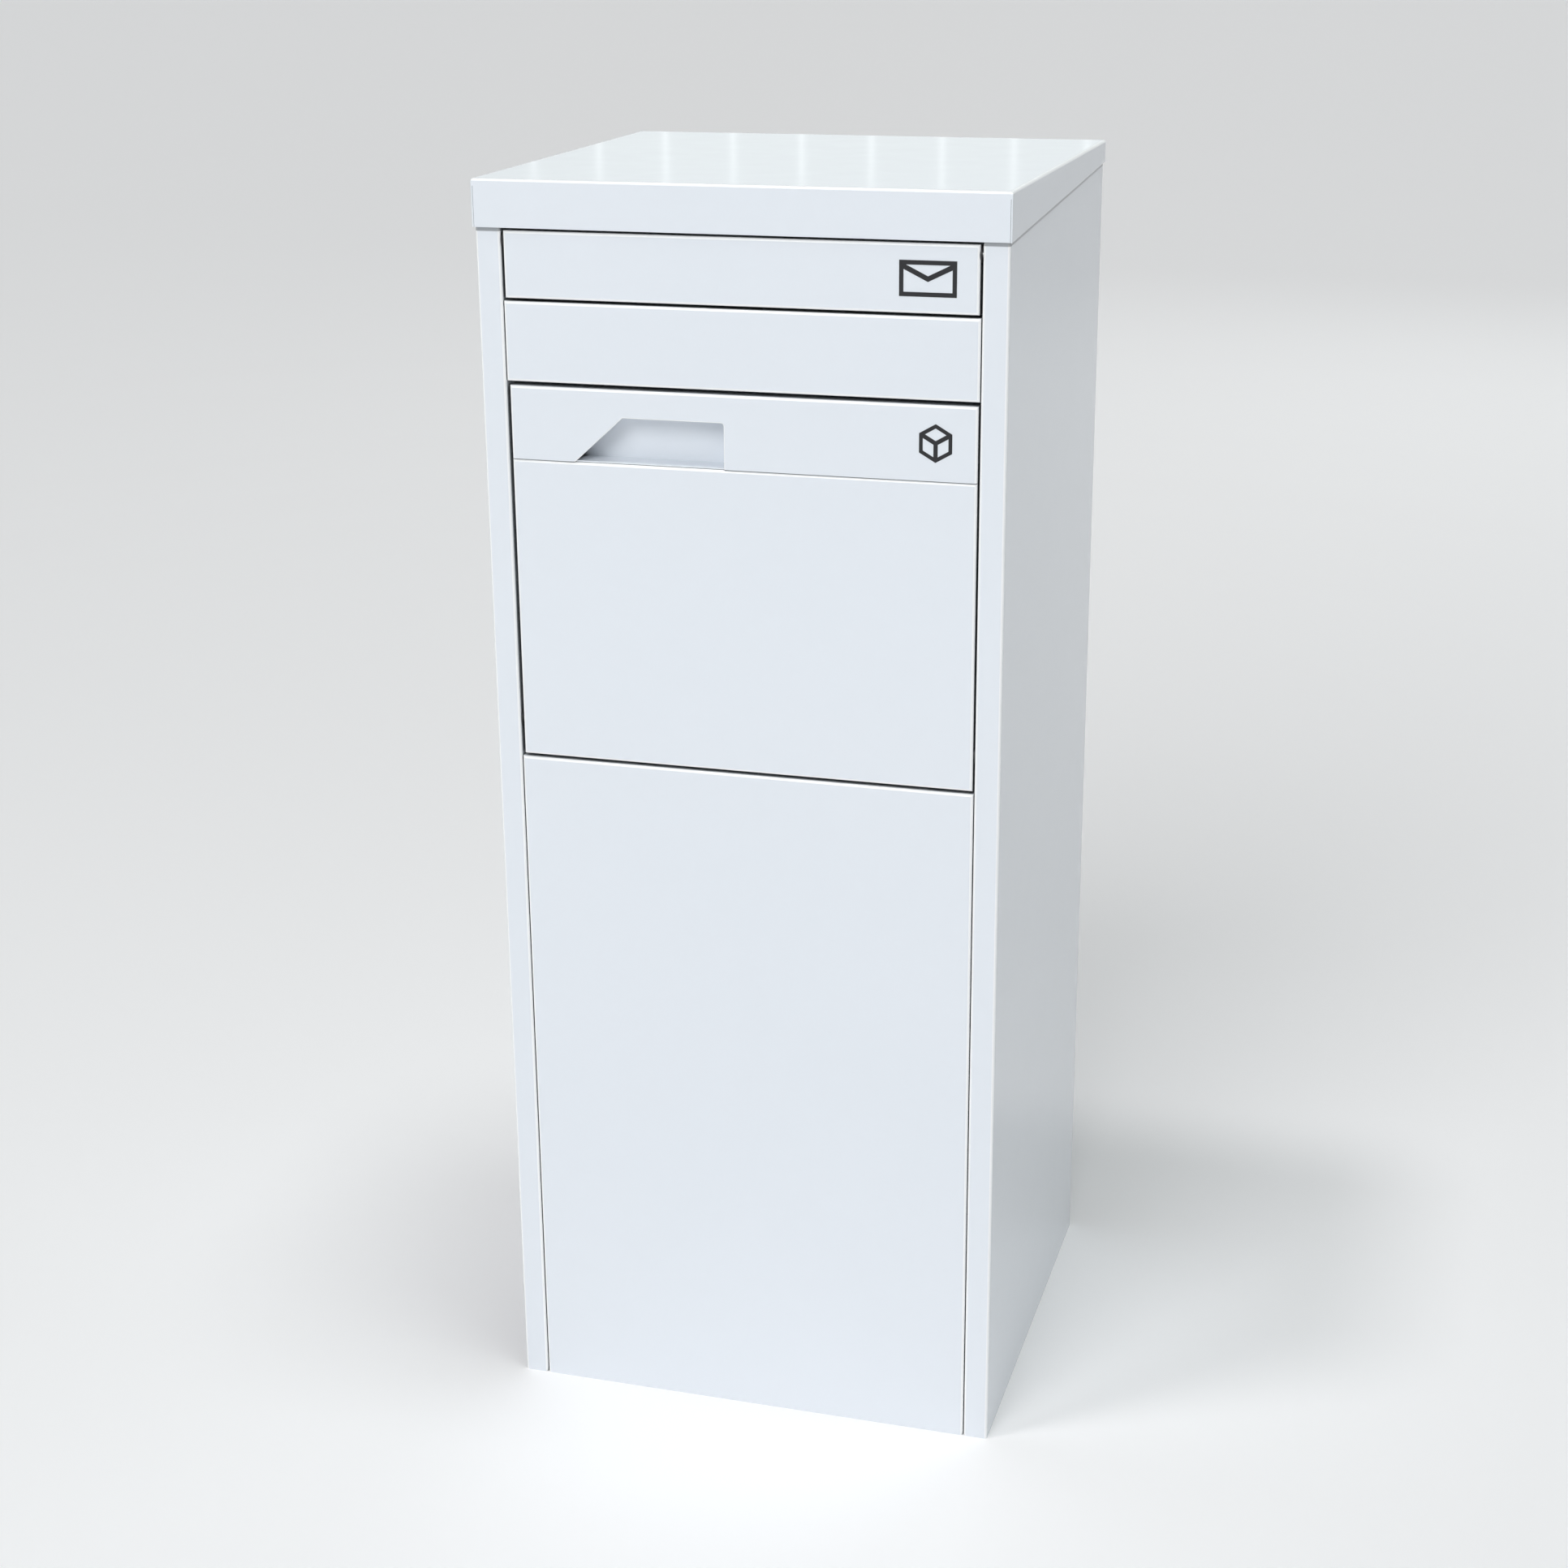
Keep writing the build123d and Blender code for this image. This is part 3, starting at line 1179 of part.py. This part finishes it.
def rear_door_stops():
    """Two angles on the right wall that the closing door comes to rest against."""
    stops = []
    y = rear_stop_face()
    reach = REAR_X - SHEET - REAR_STOP_LIP
    path = [(reach, y), (WALL_FIT_X, y), (WALL_FIT_X, y - REAR_STOP_FOOT)]
    for point in rear_stop_stud_points():
        z = point[1]
        stop = bent_plan(path, z - REAR_STOP_HALF, z + REAR_STOP_HALF)
        stop -= rod("x", point, WALL_STUD_R + STUD_CLEARANCE, 0, X_SIDE)
        stops.append(stop)
    return stops


def rear_stop_pads():
    """Rubber pads on the rear door's stops."""
    pads = []
    y = rear_stop_face()
    x_in = REAR_X - SHEET - REAR_PAD_LIP
    for z in REAR_STOP_LEVELS:
        pads.append(block(x_in, REAR_X, y, y + PAD_THICK, z - REAR_PAD_HALF, z + REAR_PAD_HALF))
    return pads


# ---- printed symbols ----
def letter_symbol():
    """A plain envelope outline on the flap."""
    right = X_POST - SYMBOL_INSET
    x0 = right - ENVELOPE_WIDTH
    low = (FLAP_BOTTOM + FLAP_TOP - SYMBOL_HEIGHT) / 2
    high = low + SYMBOL_HEIGHT
    line = SYMBOL_LINE
    face = Y_FRONT - SYMBOL_THICK
    outer = block(x0, right, face, Y_FRONT, low, high)
    inner = block(
        x0 + line, right - line, face - OVERCUT, Y_FRONT + OVERCUT, low + line, high - line,
    )
    fold_low = (low + high) / 2 - ENVELOPE_FOLD_DROP
    centre = (x0 + right) / 2
    corner = high - line / 2
    fold = face_prism(
        [
            (x0 + line / 2, corner), (centre, fold_low + FOLD_LINE_DEPTH),
            (right - line / 2, corner), (right - line / 2, corner - FOLD_LINE_DEPTH),
            (centre, fold_low), (x0 + line / 2, corner - FOLD_LINE_DEPTH),
        ],
        face, Y_FRONT,
    )
    return outer - inner + fold


def parcel_symbol():
    """A plain parcel outline on the grip strip: a hexagonal box with its three inner edges."""
    middle = (STRIP_BOTTOM + STRIP_TOP) / 2
    centre_x = X_POST - SYMBOL_INSET - PARCEL_SYMBOL_R
    outer = RegularPolygon(PARCEL_SYMBOL_R, HEXAGON_SIDES, rotation=HEXAGON_TURN)
    hole_r = PARCEL_SYMBOL_R - SYMBOL_LINE
    drawing = outer - RegularPolygon(hole_r, HEXAGON_SIDES, rotation=HEXAGON_TURN)
    length = PARCEL_SYMBOL_R - SYMBOL_LINE / 2
    for angle in (HEXAGON_TURN, 180 - HEXAGON_TURN, -90):
        drawing += Rot(0, 0, angle) * Pos(length / 2, 0) * Rectangle(length, SYMBOL_LINE)
    place = Plane.XZ * Pos(centre_x, middle)
    return Pos(0, Y_FRONT, 0) * extrude(place * drawing, SYMBOL_THICK, dir=(0, -1, 0))


def main():
    """Writes every sub-part."""
    os.makedirs("parts", exist_ok=True)
    save("left_side_panel", side_panel(False))
    save("right_side_panel", side_panel(True))
    save("wall_nuts", wall_nuts())
    save("base_plate", base_plate())
    save("top_cap", top_cap())
    save("cap_nuts", cap_nuts())
    save("upper_front_panel", front_panel(UPPER_PANEL_BOTTOM, UPPER_PANEL_TOP, "LRBT"))
    save("lower_front_panel", front_panel(0, LOWER_PANEL_TOP, "LRT"))
    save("panel_screws", panel_screws())
    save("letter_flap", letter_flap())
    save("flap_bushes", flap_bushes())
    save("flap_hinge_rod", flap_hinge_rod())
    save("rod_clips", rod_clips())
    save("flap_stop_bar", flap_stop_bar())
    save("flap_stop_pad", flap_stop_pad())
    save("parcel_door_panel", parcel_door_panel())
    save("parcel_grip_strip", parcel_grip_strip())
    save("finger_pocket", finger_pocket())
    save("left_cheek", cheek(True))
    save("right_cheek", cheek(False))
    save("hopper_floor", hopper_floor())
    save("hopper_pivot_pins", hopper_pivot_pins())
    save("hopper_pivot_bushes", hopper_pivot_bushes())
    save("hopper_rivets", hopper_rivets())
    save("hopper_rest_bar", hopper_rest_bar())
    save("hopper_rest_pad", hopper_rest_pad())
    save("left_hopper_stop", hopper_stop(-1))
    save("right_hopper_stop", hopper_stop(1))
    save("hopper_stop_pads", hopper_stop_pads())
    save("letter_chute", letter_chute())
    save("anti_fishing_baffle", anti_fishing_baffle())
    save("rear_top_rail", rear_rail(False))
    save("rear_bottom_rail", rear_rail(True))
    save("rear_hinge_pins", rear_hinge_pins())
    save("rear_door_panel", rear_door_panel())
    save("rear_door_stiffener", rear_door_stiffener())
    save("lock_body", lock_body())
    save("lock_nut", lock_nut())
    save("lock_plug", lock_plug())
    save("lock_cam", lock_cam())
    save("cam_screw", cam_screw())
    save("lock_strike", lock_strike())
    save("rear_door_stops", rear_door_stops())
    save("rear_stop_pads", rear_stop_pads())
    save("letter_symbol", letter_symbol())
    save("parcel_symbol", parcel_symbol())


main()
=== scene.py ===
from math import cos, pi, radians, sin

import bpy
from mathutils import Matrix, Vector


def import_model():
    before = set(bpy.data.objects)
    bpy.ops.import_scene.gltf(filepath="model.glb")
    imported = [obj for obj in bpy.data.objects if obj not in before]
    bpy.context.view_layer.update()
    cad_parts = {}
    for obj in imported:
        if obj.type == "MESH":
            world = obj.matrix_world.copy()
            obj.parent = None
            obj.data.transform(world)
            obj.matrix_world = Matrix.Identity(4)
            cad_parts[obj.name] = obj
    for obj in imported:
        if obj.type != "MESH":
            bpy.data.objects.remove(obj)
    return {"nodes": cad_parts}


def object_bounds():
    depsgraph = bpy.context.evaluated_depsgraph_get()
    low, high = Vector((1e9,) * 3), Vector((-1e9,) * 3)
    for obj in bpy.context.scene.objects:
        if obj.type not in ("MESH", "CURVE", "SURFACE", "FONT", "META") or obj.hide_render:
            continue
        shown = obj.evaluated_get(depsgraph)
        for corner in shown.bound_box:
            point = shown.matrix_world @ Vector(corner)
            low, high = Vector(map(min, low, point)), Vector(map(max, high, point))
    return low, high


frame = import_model()
cad_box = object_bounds()
scene = bpy.context.scene
scene.view_settings.view_transform = "Standard"

# ---- camera ----
LENS_MM = 60.37
SENSOR_MM = 36.0
CLIP_NEAR = 0.05
CLIP_FAR = 60.0
CAMERA_PLACE = Vector((0.6240, -2.2019, 1.3243))
CAMERA_AZIMUTH = radians(16.408)
CAMERA_ELEVATION = radians(19.114)
CAMERA_ROLL = radians(-0.473)

# ---- white coat, lengths in metres ----
COAT_DARK = (0.805, 0.845, 0.90)
COAT_LIGHT = (0.82, 0.855, 0.91)
COAT_TONE_SCALE = 5.0
COAT_ROUGH = (0.085, 0.115)
COAT_ROUGH_SCALE = 30.0
COAT_IOR = 1.5
WAVE_SCALE = 3.0
WAVE_DEPTH = 0.0002
PEEL_SCALE = 420.0
PEEL_DEPTH = 0.000012
CREVICE_REACH = 0.006
CREVICE_SAMPLES = 8
CREVICE_DEEP = 0.25
CREVICE_OPEN = 0.48
# painted shade colour, for tight seams and for the line under the cap's flange
PAINTED_SHADE_TONE = (0.16, 0.17, 0.18)
CAP_FRONT_DROP = 0.0387
CAP_BACK_DROP = 0.0193
CAP_EDGE_Y = 0.2062
LAP_LINE_END = 0.0034
LAP_LINE_FADE = 0.0006
LAP_LINE_SHADE = 0.75
# painted highlight colour along folds and rounded edges
FOLD_HIGHLIGHT_TONE = (0.985, 0.99, 1.0)
FOLD_START = 0.995
FOLD_FULL = 0.96
LAPPED = ("left_side_panel", "right_side_panel")
SLOPED = ("letter_chute", "hopper_floor", "anti_fishing_baffle", "left_cheek", "right_cheek")

# ---- other materials ----
ZINC_DARK = (0.56, 0.57, 0.59)
ZINC_LIGHT = (0.70, 0.71, 0.72)
ZINC_TONE_SCALE = 60.0
ZINC_ROUGH = (0.24, 0.42)
ZINC_ROUGH_SCALE = 150.0
ZINC_GRAIN_SCALE = 900.0
ZINC_GRAIN_DEPTH = 0.00002
PLAIN_TONE_SCALE = 80.0
PLAIN_ROUGH_SCALE = 200.0

# ---- floor, world and lights ----
FLOOR_REACH = 60.0
FLOOR_SIDES = 96
FLOOR_TONE = (0.965, 0.955, 0.958)
FLOOR_ROUGH = 0.8
FLOOR_SHINE = 0.1
HORIZON = 0.40
HORIZON_TOP = sin(radians(12.0))
SKY_START = sin(radians(26.0))
BACK_GLOW = 0.58
GLOW_START = 0.72
GLOW_FULL = 0.94
KEY_TINT = (1.0, 0.99, 0.997)
ROOM_TINT = (0.945, 0.997, 1.0)
SUN_DISTANCE = 5.0
STRIP_BACK = 5.0
STRIP_HEIGHT = 2.5
STRIP_SIZE = (0.013, 3.0)
STRIP_STEP = 0.20
STRIP_COUNT = 9
STRIP_MIDDLE = -1.43
STRIP_RADIANCE = 0.32
# name, direction towards the sun, strength, width, tint
SUNS = (
    ("key", (-0.10, -0.80, 0.60), 0.30, radians(36.0), KEY_TINT),
    ("overhead", (0.20, -0.05, 0.98), 0.33, radians(20.0), ROOM_TINT),
    ("fold_glow", (-0.28, -0.20, 0.94), 0.18, radians(8.0), KEY_TINT),
)
# name, place, target, size, radiance
PANELS = (
    ("front_box", (-0.3, -3.2, 2.8), (0.0, 0.0, 0.5), (2.4, 1.6), 2.5),
    ("rim", (0.9, 6.0, 3.0), (0.2, 0.0, 1.1), (1.2, 0.6), 9.0),
)


def camera():
    """The photograph's viewpoint."""
    az, el, roll = CAMERA_AZIMUTH, CAMERA_ELEVATION, CAMERA_ROLL
    forward = Vector((-sin(az) * cos(el), cos(az) * cos(el), -sin(el)))
    level = Vector((cos(az), sin(az), 0.0))
    upright = level.cross(forward)
    right = level * cos(roll) + upright * sin(roll)
    up = upright * cos(roll) - level * sin(roll)
    data = bpy.data.cameras.new("camera")
    data.lens = LENS_MM
    data.sensor_width = SENSOR_MM
    data.clip_start = CLIP_NEAR
    data.clip_end = CLIP_FAR
    holder = bpy.data.objects.new("camera", data)
    turn = Matrix((right, up, -forward)).transposed().to_4x4()
    holder.matrix_world = Matrix.Translation(CAMERA_PLACE) @ turn
    scene.collection.objects.link(holder)
    scene.camera = holder


# ---- node helpers ----
def node(tree, kind, **inputs):
    made = tree.nodes.new(kind)
    for name, value in inputs.items():
        made.inputs[name.replace("_", " ")].default_value = value
    return made


def maths(tree, operation, *sources):
    """A Math node whose sources are linked, or set when they are plain numbers."""
    made = tree.nodes.new("ShaderNodeMath")
    made.operation = operation
    for socket, source in zip(made.inputs, sources):
        if isinstance(source, float):
            socket.default_value = source
        else:
            tree.links.new(source, socket)
    return made.outputs[0]


def place(tree, output="Object"):
    made = tree.nodes.get("Place") or tree.nodes.new("ShaderNodeTexCoord")
    made.name = "Place"
    return made.outputs[output]


def axes(tree, source):
    made = tree.nodes.new("ShaderNodeSeparateXYZ")
    tree.links.new(source, made.inputs["Vector"])
    return made.outputs


def noise(tree, scale, detail):
    made = node(tree, "ShaderNodeTexNoise", Scale=scale, Detail=detail)
    tree.links.new(place(tree), made.inputs["Vector"])
    return made.outputs["Fac"]


def spread(tree, source, low, high, start=0.3, end=0.7):
    made = node(tree, "ShaderNodeMapRange", From_Min=start, From_Max=end, To_Min=low, To_Max=high)
    tree.links.new(source, made.inputs["Value"])
    return made.outputs["Result"]


def bump(tree, source, distance, below=None):
    made = node(tree, "ShaderNodeBump", Strength=1.0, Distance=distance)
    tree.links.new(source, made.inputs["Height"])
    if below is not None:
        tree.links.new(below, made.inputs["Normal"])
    return made.outputs["Normal"]


def blend(tree, share, first, second):
    """Mixes a colour, or a linked colour, towards a second colour."""
    made = tree.nodes.new("ShaderNodeMix")
    made.data_type = "RGBA"
    tree.links.new(share, made.inputs[0])
    if isinstance(first, tuple):
        made.inputs[6].default_value = (*first, 1.0)
    else:
        tree.links.new(first, made.inputs[6])
    made.inputs[7].default_value = (*second, 1.0)
    return made.outputs[2]


def material(name):
    made = bpy.data.materials.new(name)
    made.use_nodes = True
    return made, made.node_tree, made.node_tree.nodes["Principled BSDF"]


# ---- materials ----
def painted_crevice_shade(tree, colour):
    """Painted shade: darkens the coat by ambient occlusion where it runs into a tight seam."""
    near = node(tree, "ShaderNodeAmbientOcclusion", Distance=CREVICE_REACH)
    near.samples = CREVICE_SAMPLES
    shade = spread(tree, near.outputs["AO"], 1.0, 0.0, CREVICE_DEEP, CREVICE_OPEN)
    return blend(tree, shade, colour, PAINTED_SHADE_TONE)


def lap_line(tree, colour):
    """The thin line of shade on a side panel, just under the cap's rising flange."""
    parts = axes(tree, place(tree))
    slope = (CAP_FRONT_DROP - CAP_BACK_DROP) / (2 * CAP_EDGE_Y)
    low = cad_box[1][2] - CAP_FRONT_DROP + slope * CAP_EDGE_Y - LAP_LINE_END
    level = maths(tree, "MULTIPLY_ADD", parts["Y"], -slope, parts["Z"])
    shade = spread(tree, level, 0.0, LAP_LINE_SHADE, low, low + LAP_LINE_FADE)
    return blend(tree, shade, colour, PAINTED_SHADE_TONE)


def painted_fold_highlight(tree, colour):
    """Painted highlight: a brighter line along folds and rounded edges, where the object-space
    normal lies off the main axes.
    """
    sizes = [maths(tree, "ABSOLUTE", part) for part in axes(tree, place(tree, "Normal"))]
    largest = maths(tree, "MAXIMUM", sizes[0], sizes[1])
    largest = maths(tree, "MAXIMUM", largest, sizes[2])
    shade = spread(tree, largest, 1.0, 0.0, FOLD_FULL, FOLD_START)
    return blend(tree, shade, colour, FOLD_HIGHLIGHT_TONE)


def white_coat(name, lapped, with_fold_highlight):
    """Powder coat: faintly wavy, fine-grained and glossy."""
    made, tree, shader = material(name)
    colour = blend(tree, noise(tree, COAT_TONE_SCALE, 3.0), COAT_DARK, COAT_LIGHT)
    # painted highlight along folds and rounded edges
    if with_fold_highlight:
        colour = painted_fold_highlight(tree, colour)
    if lapped:
        colour = lap_line(tree, colour)
    # painted shade in tight seams, from ambient occlusion
    tree.links.new(painted_crevice_shade(tree, colour), shader.inputs["Base Color"])
    rough = spread(tree, noise(tree, COAT_ROUGH_SCALE, 4.0), *COAT_ROUGH)
    tree.links.new(rough, shader.inputs["Roughness"])
    waves = bump(tree, noise(tree, WAVE_SCALE, 1.0), WAVE_DEPTH)
    peel = bump(tree, noise(tree, PEEL_SCALE, 2.0), PEEL_DEPTH, waves)
    tree.links.new(peel, shader.inputs["Normal"])
    shader.inputs["IOR"].default_value = COAT_IOR
    return made


def zinc():
    made, tree, shader = material("zinc_plated_steel")
    colour = blend(tree, noise(tree, ZINC_TONE_SCALE, 5.0), ZINC_DARK, ZINC_LIGHT)
    tree.links.new(colour, shader.inputs["Base Color"])
    rough = spread(tree, noise(tree, ZINC_ROUGH_SCALE, 4.0), *ZINC_ROUGH)
    tree.links.new(rough, shader.inputs["Roughness"])
    grain = bump(tree, noise(tree, ZINC_GRAIN_SCALE, 3.0), ZINC_GRAIN_DEPTH)
    tree.links.new(grain, shader.inputs["Normal"])
    shader.inputs["Metallic"].default_value = 1.0
    return made


def plain(name, dark, light, rough, metal, grain_scale, grain_depth):
    """A material with a slight unevenness of tone and roughness, and a fine grain."""
    made, tree, shader = material(name)
    colour = blend(tree, noise(tree, PLAIN_TONE_SCALE, 3.0), dark, light)
    tree.links.new(colour, shader.inputs["Base Color"])
    uneven = spread(tree, noise(tree, PLAIN_ROUGH_SCALE, 3.0), *rough)
    tree.links.new(uneven, shader.inputs["Roughness"])
    grain = bump(tree, noise(tree, grain_scale, 3.0), grain_depth)
    tree.links.new(grain, shader.inputs["Normal"])
    shader.inputs["Metallic"].default_value = metal
    return made


COATS = {
    "white_coat": white_coat("white_powder_coat", False, True),
    "zinc_steel": zinc(),
    "rubber": plain(
        "black_rubber", (0.018, 0.018, 0.019), (0.03, 0.03, 0.031), (0.6, 0.8), 0.0,
        1500.0, 0.00004,
    ),
    "nylon_bush": plain(
        "black_nylon", (0.022, 0.022, 0.024), (0.035, 0.035, 0.037), (0.42, 0.55), 0.0,
        700.0, 0.00002,
    ),
    "dark_print": plain(
        "dark_ink", (0.010, 0.010, 0.013), (0.018, 0.018, 0.022), (0.4, 0.5), 0.0,
        1500.0, 0.00001,
    ),
    "chrome_lock": plain(
        "bright_chrome", (0.74, 0.75, 0.77), (0.82, 0.83, 0.84), (0.06, 0.12), 1.0,
        600.0, 0.000005,
    ),
}
side_coat = white_coat("side_powder_coat", True, True)
inner_coat = white_coat("inner_powder_coat", False, False)

for name, piece in frame["nodes"].items():
    slot = piece.data.materials[0].name
    piece.data.materials[0] = COATS[slot]
    if name in LAPPED:
        piece.data.materials[0] = side_coat
    if name in SLOPED:
        piece.data.materials[0] = inner_coat


# ---- floor, world and lights ----
def floor():
    data = bpy.data.meshes.new("floor")
    turn = 2 * pi / FLOOR_SIDES
    rim = []
    for i in range(FLOOR_SIDES):
        rim.append((FLOOR_REACH * cos(turn * i), FLOOR_REACH * sin(turn * i), 0.0))
    data.from_pydata(rim, [], [tuple(range(FLOOR_SIDES))])
    made, tree, shader = material("pale_floor")
    shader.inputs["Base Color"].default_value = (*FLOOR_TONE, 1.0)
    shader.inputs["Roughness"].default_value = FLOOR_ROUGH
    shader.inputs["Specular IOR Level"].default_value = FLOOR_SHINE
    data.materials.append(made)
    holder = bpy.data.objects.new("floor", data)
    scene.collection.objects.link(holder)


def world():
    """A pale band of room around the horizon, brighter behind the object, with a dark ceiling."""
    made = bpy.data.worlds.new("studio")
    made.use_nodes = True
    tree = made.node_tree
    back = tree.nodes["Background"]
    back.inputs["Color"].default_value = (*ROOM_TINT, 1.0)
    parts = axes(tree, place(tree, "Generated"))
    level = spread(tree, parts["Z"], 1.0, 0.0, HORIZON_TOP, SKY_START)
    behind = spread(tree, parts["Y"], HORIZON, HORIZON + BACK_GLOW, GLOW_START, GLOW_FULL)
    tree.links.new(maths(tree, "MULTIPLY", level, behind), back.inputs["Strength"])
    scene.world = made


def placed_light(name, data, spot, target):
    holder = bpy.data.objects.new(name, data)
    holder.location = spot
    holder.rotation_euler = (target - spot).to_track_quat("-Z", "Y").to_euler()
    holder.visible_camera = False
    scene.collection.objects.link(holder)


def sun(name, direction, strength, width, tint):
    data = bpy.data.lights.new(name, "SUN")
    data.color = tint
    data.energy = strength * pi
    data.angle = width
    placed_light(name, data, Vector(direction) * SUN_DISTANCE, Vector())


def panel(name, spot, target, size, radiance):
    data = bpy.data.lights.new(name, "AREA")
    data.shape = "RECTANGLE"
    data.size, data.size_y = size
    data.energy = radiance * pi * size[0] * size[1]
    data.color = ROOM_TINT
    placed_light(name, data, Vector(spot), Vector(target))


def strips():
    """Slim upright lights far behind, which the glossy top reflects as faint streaks."""
    for i in range(STRIP_COUNT):
        across = (i - (STRIP_COUNT - 1) / 2) * STRIP_STEP + STRIP_MIDDLE
        spot = (across, STRIP_BACK, STRIP_HEIGHT)
        target = (across, STRIP_BACK - 1.0, STRIP_HEIGHT)
        panel("strip_light", spot, target, STRIP_SIZE, STRIP_RADIANCE)


camera()
floor()
world()
for values in SUNS:
    sun(*values)
for values in PANELS:
    panel(*values)
strips()
